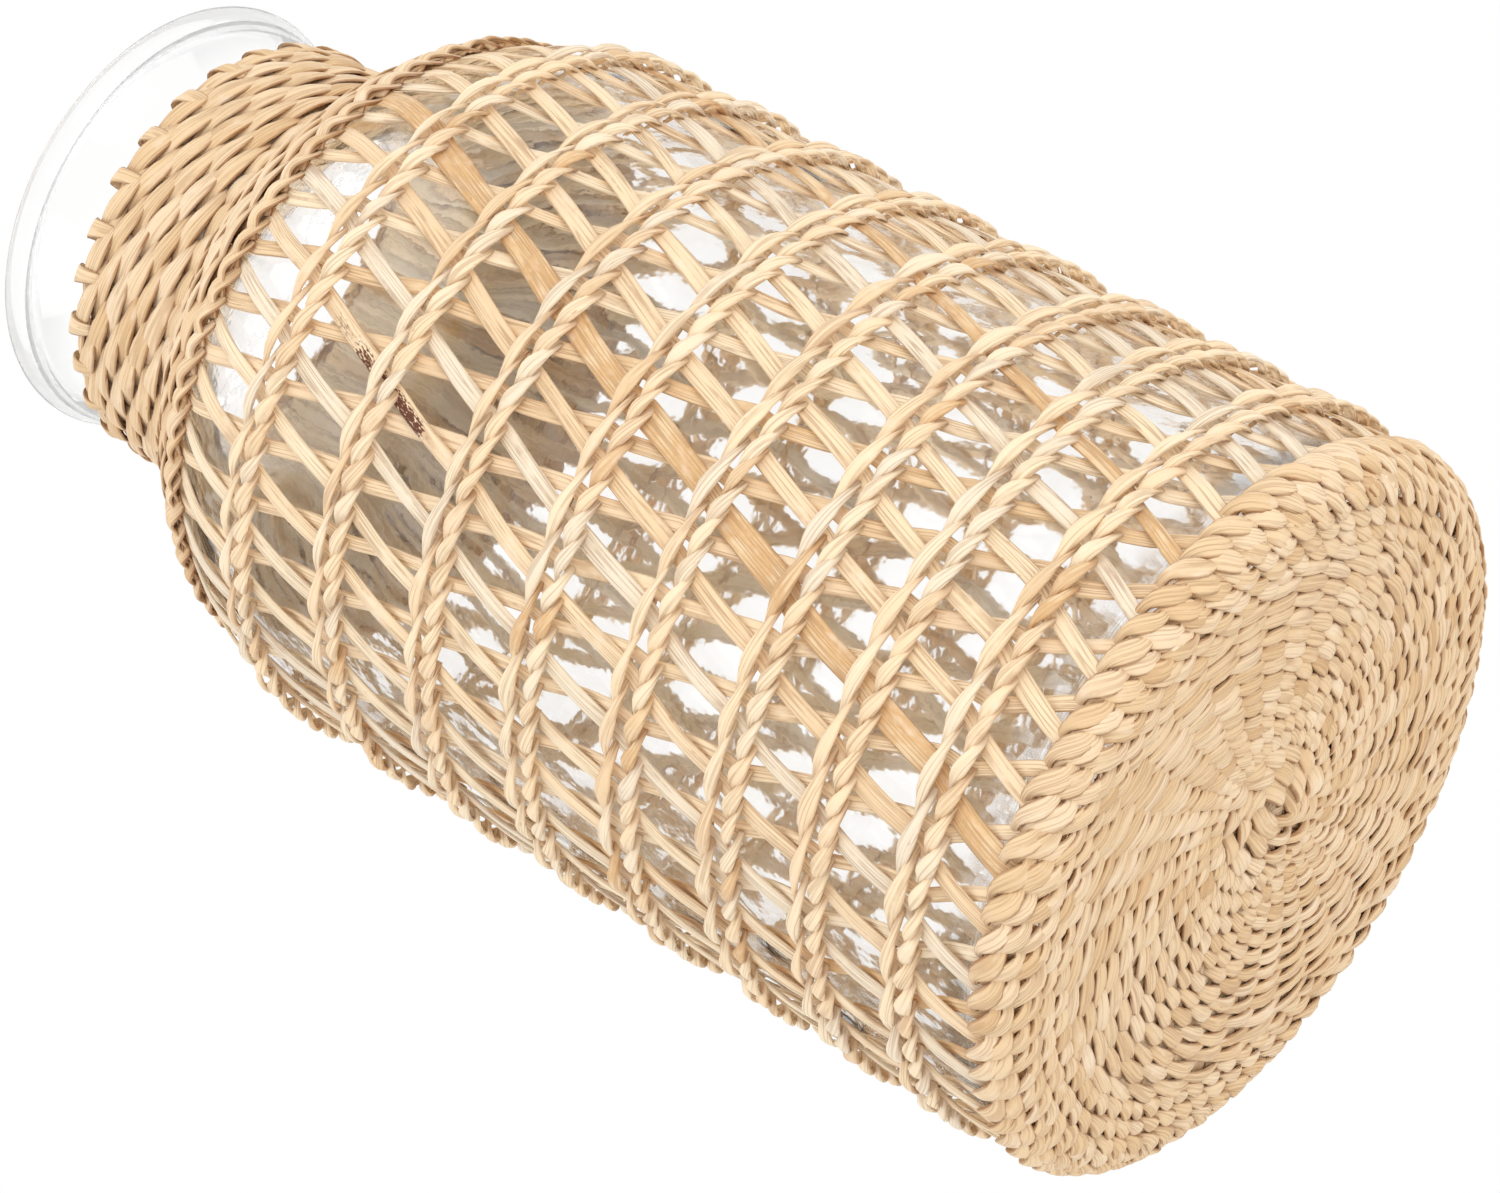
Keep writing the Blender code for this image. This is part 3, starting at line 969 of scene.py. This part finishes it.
            stain[self.scarred_stake] = np.interp(climb / MM, self.scar_climbs, self.scar_depths)
        return [Strands(centre[k:k + 1], out[k:k + 1], width[k:k + 1], thick[k:k + 1], tone[k:k + 1],
                        stain[k:k + 1], around=self.around, squareness=self.squareness) for k in range(count)]

    def build(self, finish: bpy.types.Material) -> None:
        """Make each stake one piece, from its two legs."""
        pairs = zip(self.legs(False), self.legs(True))
        for number, (outer, inner) in enumerate(pairs, start=1):
            piece = weave_mesh(f"stake_{number:02d}", [outer, inner])
            dress(piece, finish, Slot.STAKE, f"stake_pair_{number:02d}")


@dataclass
class Rings:
    """Open rings of two twined rows: long strands above, short fat ones below."""

    outline: Outline
    stakes: Stakes
    long_strand: Lay = Lay(degrees=11.8, width=4.0 * MM, climb=1.0 * MM, tip=0.4, blunt=0.4, turn=9.0)
    short_strand: Lay = Lay(degrees=7.2, width=3.9 * MM, climb=1.55 * MM, thickness=1.25 * MM, turn=8.0)
    row_gaps: tuple = (5.3, 5.7, 6.0, 6.2, 5.6, 5.0, 4.5, 4.6)
    long_widths: tuple = (4.0, 4.0, 4.0, 4.0, 3.9, 3.7, 3.4, 3.3)
    first_lift: float = 0.5 * MM
    long_step: float = 0.6
    short_step: float = -1.2
    sway: float = 0.55 * MM
    seed: int = 7

    def build(self, finish: bpy.types.Material) -> None:
        """Make each ring one piece. A short strand passes over each leg, a long one over two."""
        pairs = self.stakes.pairs
        rings = zip(self.stakes.rings, self.row_gaps, self.long_widths)
        for number, (rise, gap, width) in enumerate(rings, start=1):
            loom = Loom(self.outline, self.seed + number)
            leg = self.stakes.first_leg(rise)
            top = rise + (self.first_lift if number == 1 else 0.0)
            slim = replace(self.long_strand, width=width * MM)
            upper = loom.round_row(top, pairs, leg + self.long_step, slim, self.sway)
            lower = top - gap * MM
            under = loom.round_row(lower, 2 * pairs, leg + self.short_step, self.short_strand, self.sway)
            piece = weave_mesh(f"twined_ring_{number}", [upper, under])
            dress(piece, finish, Slot.WEAVER, f"ring_{number}")


@dataclass
class Shoulder:
    """Strands that arch over the stakes where the open lattice ends, and close rows up to the neck."""

    outline: Outline
    stakes: Stakes
    arch: Lay = Lay(degrees=6.2, width=4.8 * MM, climb=0.6 * MM, bow=1.2 * MM, depth=4.3 * MM, swell=1.3 * MM,
                    lag=-0.2, tip=0.9, blunt=0.1, turn=4.0, tilt=5.0)
    low_arch: Lay = replace(arch, degrees=6.0, width=4.6 * MM, climb=0.7 * MM, bow=0.8 * MM, depth=4.1 * MM)
    smooth: Lay = Lay(degrees=10.5, width=8.6 * MM, climb=1.0 * MM, depth=4.3 * MM, swell=0.9 * MM, tip=0.95,
                      blunt=0.05, turn=4.0, tilt=4.0, fold=0.35 * MM)
    backing_depth: float = 3.2 * MM
    arch_rise: float = 33.6 * MM
    arch_step: float = -0.5
    low_arch_step: float = -4.7
    arch_sway: float = 0.25 * MM
    smooth_rise: float = 37.4 * MM
    smooth_pitch: float = 5.0 * MM
    smooth_step: float = 3.7
    seed: int = 71

    def build(self, finish: bpy.types.Material) -> None:
        """Make the arches and the row over them one piece and the rows above another."""
        loom = Loom(self.outline, self.seed)
        pairs = self.stakes.pairs
        head = self.outline.wall
        rise = head + self.arch_rise
        leg = self.stakes.first_leg(rise)
        first = leg + self.arch_step
        over = loom.round_row(rise, pairs, first, self.arch, self.arch_sway)
        between = loom.round_row(rise, pairs, first + self.low_arch_step, self.low_arch, self.arch_sway)
        start = head + self.smooth_rise
        rows = int((self.outline.neck_start - start) / self.smooth_pitch) + 1
        lays = [replace(self.smooth, depth=self.backing_depth)] + [self.smooth] * (rows - 1)
        close = [loom.round_row(start + self.smooth_pitch * row, pairs, leg + self.smooth_step * row, lay)
                 for row, lay in enumerate(lays)]
        piece = weave_mesh("shoulder_twining", [over, between, close[0]])
        dress(piece, finish, Slot.WEAVER, "shoulder_row")
        piece = weave_mesh("shoulder_close_rows", close[1:])
        dress(piece, finish, Slot.WEAVER, "shoulder_weave")


@dataclass
class Collar:
    """Spiral of long strands round the neck, and the border where the stake ends fold down."""

    outline: Outline
    strand: Lay = Lay(degrees=17.5, width=5.2 * MM, climb=1.6 * MM, depth=4.1 * MM, swell=1.4 * MM, tip=0.75,
                      blunt=0.2, turn=7.0, tilt=7.0, fold=0.45 * MM, stations=15)
    turns: float = 6.0
    per_turn: float = 74.0 / 3.0
    row_pitch: float = 4.6 * MM
    start_lift: float = 2.1 * MM
    start_direction: float = 95.0
    sway: float = 0.3 * MM
    edge: Lay = Lay(degrees=17.0, width=3.2 * MM, climb=0.6 * MM, depth=3.0 * MM, swell=1.2 * MM, tip=0.7,
                    blunt=0.2)
    edge_drop: float = 3.4 * MM
    edge_direction: float = -97.0
    edge_sway: float = 0.2 * MM
    tabs: int = 27
    tab_direction: float = -104.0
    tab_turns: tuple = (-0.35, math.pi + 0.9)
    tab_stations: int = 14
    tab_width: float = 5.6 * MM
    tab_thickness: float = 0.9 * MM
    tab_lean: float = 3.6
    tab_top: float = 0.5 * MM
    tab_rise: float = 4.5 * MM
    tab_middle: float = 3.2 * MM
    tab_reach: float = 2.7 * MM
    place_spread: float = 0.8
    rise_spread: float = 0.08
    width_spread: float = 0.14
    seed: int = 97

    def build(self, finish: bpy.types.Material) -> None:
        """Make the spiral one piece and the border another."""
        line = self.outline
        loom = Loom(line, self.seed)
        numbers = np.arange(int(self.turns * self.per_turn))
        start = line.neck_start + self.start_lift
        directions = math.radians(self.start_direction) + FULL_TURN * numbers / self.per_turn
        rises = start + self.row_pitch * numbers / self.per_turn
        spiral = loom.lenses(directions, rises + loom.wobble(directions, self.sway), self.strand)
        dress(weave_mesh("collar_spiral", [spiral]), finish, Slot.WEAVER, "collar_weave")
        top = line.neck_end - self.edge_drop
        edge = loom.round_row(top, self.tabs, self.edge_direction, self.edge, self.edge_sway)
        dress(weave_mesh("folded_border", [edge, self.folds(loom)]), finish, Slot.WEAVER, "collar_border")

    def folds(self, loom: Loom) -> Strands:
        """Stake ends that come up inside, turn over the edge and go down into the top row.

        With the angle running from inside over the top to outside, the climb follows its sine
        and the depth its cosine, so each fold is most of an oval that stands on its side.
        """
        count = self.tabs
        angle = np.linspace(*self.tab_turns, self.tab_stations)
        lean = np.linspace(0.0, 1.0, self.tab_stations)
        first = math.radians(self.tab_direction) + FULL_TURN * np.arange(count) / count
        middle = first + math.radians(self.place_spread) * loom.chance.uniform(-1.0, 1.0, count)
        direction = middle[:, None] + math.radians(self.tab_lean) * lean
        tall = self.tab_rise * loom.vary(count, self.rise_spread)[:, None]
        base = self.outline.neck_end + self.tab_top - self.tab_rise
        rise = base + tall * np.sin(angle)
        depth = np.broadcast_to(self.tab_middle - self.tab_reach * np.cos(angle), rise.shape)
        path = self.outline.place(direction, rise, depth)
        hub = self.outline.place(direction, np.broadcast_to(base, rise.shape), self.tab_middle)
        leaf = 1.0 - 0.9 * np.abs(lean - 0.5)
        width = self.tab_width * loom.vary(count, self.width_spread)[:, None] * leaf
        thick = np.full(width.shape, self.tab_thickness)
        return Strands(path, path - hub, width, thick, loom.chance.uniform(0.0, 1.0, count), squareness=0.7)


@dataclass
class Base:
    """Rows round the bottom corner, and the flat twined mat under the jar."""

    outline: Outline
    stakes: Stakes
    band: Lay = Lay(degrees=7.0, width=5.0 * MM, climb=1.6 * MM, thickness=1.2 * MM, tip=0.5, blunt=0.4,
                    turn=8.0, tilt=6.0)
    band_angles: tuple = (-24.3, -43.5, -66.3)
    band_first: float = -1.2
    band_step: float = 0.3
    sway: float = 0.25 * MM
    flat: Lay = Lay(degrees=1.0, width=4.5 * MM, climb=1.3 * MM, bow=1.0 * MM, thickness=1.2 * MM,
                    depth=4.3 * MM, swell=1.7 * MM, blunt=0.3, turn=10.0, tilt=8.0, fold=0.35 * MM,
                    stations=11, around=10)
    rim_climb: float = 1.7 * MM
    rim_bow: float = 0.2 * MM
    rim_radius: float = 66.0 * MM
    rim_gap: float = 0.7 * MM
    rim_step: float = 2.4
    flat_step: float = -0.35
    row_pitch: float = 4.4 * MM
    few_radius: float = 17.0 * MM
    last_radius: float = 1.5 * MM
    overlap: float = 1.65
    knot: Lay = Lay(degrees=1.0, width=5.2 * MM, climb=0.9 * MM, bow=0.4 * MM, thickness=1.6 * MM,
                    depth=4.3 * MM, swell=2.0 * MM, tip=0.75, blunt=0.25, turn=12.0, tilt=14.0, uneven=1.8)
    knot_length: float = 6.3 * MM
    knot_overlap: float = 1.25
    eye_shift: float = 5.0 * MM
    eye_stretch: float = 6.0 * MM
    spoke_ends: tuple = (3.0 * MM, 1.0 * MM)
    spoke_stations: int = 12
    spoke_depth: float = 4.2 * MM
    spoke_share: float = 0.085
    spoke_thickness: float = 1.6 * MM
    seed: int = 131

    def build(self, finish: bpy.types.Material) -> None:
        """Make the band one piece and the mat another."""
        loom = Loom(self.outline, self.seed)
        first = self.stakes.first_leg(self.outline.band_rise) + self.band_first
        count = 2 * self.stakes.pairs
        rows = [loom.round_row(self.outline.corner * math.radians(angle), count, first + self.band_step * row,
                               self.band, self.sway) for row, angle in enumerate(self.band_angles)]
        dress(weave_mesh("corner_rows", rows), finish, Slot.BASE, "base_band")
        dress(weave_mesh("base_spiral", self.mat(loom) + [self.backing()]), finish, Slot.BASE, "base_mat")

    def mat(self, loom: Loom) -> list[Strands]:
        """Rows of the mat from the corner inwards.

        A row is a circle whose middle moves from the jar's axis to the eye of the mat as it
        shrinks, while it is drawn out along Y. The outer rows have a strand over every stake leg,
        the next a strand over every stake, one above the other, and the inmost fewer and fatter ones.
        """
        line = self.outline
        edge = line.body_radius - line.corner
        pairs = self.stakes.pairs
        batches = []
        for row, radius in enumerate(np.arange(edge + self.rim_gap, self.last_radius, -self.row_pitch)):
            if radius > self.rim_radius:
                count, overlap, first = 2 * pairs, self.overlap, self.rim_step * row
                lay = replace(self.flat, climb=self.rim_climb, bow=self.rim_bow)
            elif radius < self.few_radius:
                count = max(int(FULL_TURN * radius / self.knot_length), 3)
                overlap, first, lay = self.knot_overlap, loom.chance.uniform(0.0, 360.0), self.knot
            else:
                count, overlap, first, lay = pairs, self.overlap, self.flat_step * row, self.flat
            lay = replace(lay, degrees=360.0 / count * overlap)
            strands = loom.round_row(line.flat_climb(radius), count, first, lay, self.sway)
            share = 1.0 - min(radius / edge, 1.0)
            strands.centre[..., 1] *= 1.0 + self.eye_stretch * share / radius
            strands.centre[..., 0] += self.eye_shift * share
            batches.append(strands)
        return batches

    def backing(self) -> Strands:
        """Hidden run of the stakes to the middle: flat spokes behind the rows."""
        line = self.outline
        count = 2 * self.stakes.pairs
        near, gap = self.spoke_ends
        radii = np.linspace(near, line.body_radius - line.corner - gap, self.spoke_stations)
        direction = (FULL_TURN * np.arange(count) / count)[:, None] + np.zeros(len(radii))
        height = np.full(direction.shape, line.cover - self.spoke_depth)
        centre = np.stack([radii * np.cos(direction), radii * np.sin(direction), height], -1)
        out = np.broadcast_to(np.array([0.0, 0.0, -1.0]), centre.shape)
        width = np.broadcast_to(radii * self.spoke_share, direction.shape)
        thick = np.full(direction.shape, self.spoke_thickness)
        return Strands(centre, out, width, thick, np.linspace(0.0, 1.0, count), around=6, squareness=0.5)


# Stage, light and camera


@dataclass(frozen=True)
class Floor:
    """Pale floor that keeps the object's shadow and is not there for a camera below it."""

    size: float = 6.0
    height: float = -0.2 * MM
    colour: tuple = (0.93, 0.93, 0.93, 1.0)

    def build(self) -> bpy.types.Object:
        """One large square, facing up, a hair under the base."""
        half = self.size / 2
        plan = [(-half, -half, self.height), (half, -half, self.height), (half, half, self.height),
                (-half, half, self.height)]
        mesh = bpy.data.meshes.new("floor")
        mesh.from_pydata(plan, [], [(0, 1, 2, 3)])
        made = bpy.data.materials.new("pale_floor")
        shade = Shade(made)
        camera, glossy, passing = (
            shade.wire("LightPath", f"Is {kind} Ray") for kind in ("Camera", "Glossy", "Transmission"))
        seen = (camera + glossy + passing).clamped()
        back = shade.wire("NewGeometry", "Backfacing")
        matt = shade.node("BsdfDiffuse", None, {"Color": self.colour})
        clear = shade.node("BsdfTransparent")
        shade.finish(shade.node("MixShader", None, {
            0: seen * (1.0 - back), 1: clear.outputs[0], 2: matt.outputs[0]}))
        mesh.materials.append(made)
        plane = link("floor", mesh)
        return plane


@dataclass(frozen=True)
class Studio:
    """Even white surroundings, soft lamps, and small lamps inside the jar.

    lamps: name, way from the object, distance, size in metres and power of each.
    """

    lamps: tuple = (
        ("key", (0.62, -1.03, -0.20), 1.5, 0.9, 4.4),
        ("fill", (-0.9, -0.8, 0.35), 1.6, 1.2, 3.4),
        ("top", (0.1, -0.1, 1.4), 1.6, 1.4, 5.0),
        ("under", (0.35, -0.55, -1.0), 1.5, 1.0, 2.9),
    )
    middle: tuple = (0.0, 0.0, 0.17)
    inside_heights: tuple = (0.06, 0.12, 0.17, 0.21, 0.25)
    inside_power: float = 0.15
    inside_radius: float = 30.0 * MM

    def build(self) -> None:
        """Set the world and the lamps."""
        world = bpy.data.worlds.new("studio")
        bpy.context.scene.world = world
        shade = Shade(world)
        light = shade.node("Background", None, {"Color": (1.0, 1.0, 1.0, 1.0), "Strength": 1.0})
        shade.node("OutputWorld", None, {"Surface": light.outputs[0]})
        for name, towards, distance, size, power in self.lamps:
            self.lamp(name, Vector(towards), distance, size, power)
        for number, height in enumerate(self.inside_heights, start=1):
            self.inside_lamp(f"inside_{number}", height)

    def inside_lamp(self, name: str, height: float) -> None:
        """Weak lamp on the axis that brightens the inside of the cover and isn't seen itself."""
        data = bpy.data.lights.new(name, "POINT")
        data.energy = self.inside_power
        data.shadow_soft_size = self.inside_radius
        lamp = link(name, data)
        lamp.location = (0.0, 0.0, height)
        lamp.visible_camera = False
        lamp.visible_glossy = False
        lamp.visible_transmission = False

    def lamp(self, name: str, towards: Vector, distance: float, size: float, power: float) -> None:
        """Square lamp at a distance from the object, aimed at its middle."""
        data = bpy.data.lights.new(name, "AREA")
        data.size = size
        data.energy = power
        lamp = link(name, data)
        middle = Vector(self.middle)
        lamp.location = middle + towards.normalized() * distance
        lamp.rotation_euler = (middle - lamp.location).to_track_quat("-Z", "Y").to_euler()


@dataclass(frozen=True)
class View:
    """The photograph's camera: under the jar, looking up at it, with the jar lying across the picture."""

    aim: tuple = (-0.0114257, -0.0001325, 0.14145)
    distance: float = 1.189
    azimuth: float = -89.35
    elevation: float = -30.3317
    roll: float = 60.3856
    lens: float = 123.786
    nearest: float = 0.05

    def build(self) -> None:
        """Place the camera: a level view turned about its own line of sight by the roll."""
        azimuth, elevation, roll = (math.radians(a) for a in (self.azimuth, self.elevation, self.roll))
        back = Vector((math.cos(elevation) * math.cos(azimuth), math.cos(elevation) * math.sin(azimuth),
                       math.sin(elevation)))
        level = Vector((0.0, 0.0, 1.0)).cross(back).normalized()
        upright = back.cross(level)
        up = upright * math.cos(roll) + level * math.sin(roll)
        right = up.cross(back)
        place = Matrix((right, up, back)).transposed().to_4x4()
        place.translation = Vector(self.aim) + back * self.distance
        data = bpy.data.cameras.new("photo_view")
        data.lens = self.lens
        data.clip_start = self.nearest
        camera = link("photo_view", data)
        camera.matrix_world = place
        bpy.context.scene.camera = camera


def ring_climbs(outline: Outline, first_height: float = 32.5 * MM, low_pitch: float = 25.6 * MM,
                last_climb: float = 7.2 * MM) -> Array:
    """Climb of each ring's upper row: three at one pitch, then five evenly up to the shoulder."""
    lower = first_height - outline.foot + low_pitch * np.arange(3)
    upper = np.linspace(lower[-1], outline.wall + last_climb, 6)
    return np.concatenate([lower, upper[1:]])


def corners(box: tuple) -> list[list[float]]:
    """Lowest and highest corner as plain lists."""
    return [list(map(float, corner)) for corner in box]


def main() -> None:
    """Build everything in order."""
    logging.basicConfig(level=logging.INFO, format="%(name)s: %(message)s")
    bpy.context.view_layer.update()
    bpy.context.scene.view_settings.view_transform = "Standard"
    View().build()
    Studio().build()
    Floor().build()
    outline = Outline()
    stakes = Stakes(outline, ring_climbs(outline))
    split = StrawFinish("split_stake", tones=OPEN_TONES, strips=(0.8 * MM, 40.0, 0.0), fibre_shade=0.12,
                        groove_shade=0.46, rim_shade=0.10).build()
    twisted = StrawFinish("twisted_weaver", tones=OPEN_TONES, twist=0.06, fibre_shade=0.13,
                          groove_shade=0.36).build()
    close = StrawFinish("close_weaver", twist=0.04, fibre_shade=0.15, groove_shade=0.34,
                        rim_shade=0.55).build()
    dress(Jar(outline).build(), GlassFinish().build(), Slot.GLASS, "glass_vase")
    Base(outline, stakes).build(close)
    stakes.build(split)
    Rings(outline, stakes).build(twisted)
    Shoulder(outline, stakes).build(close)
    Collar(outline).build(close)


if __name__ == "__main__":
    main()
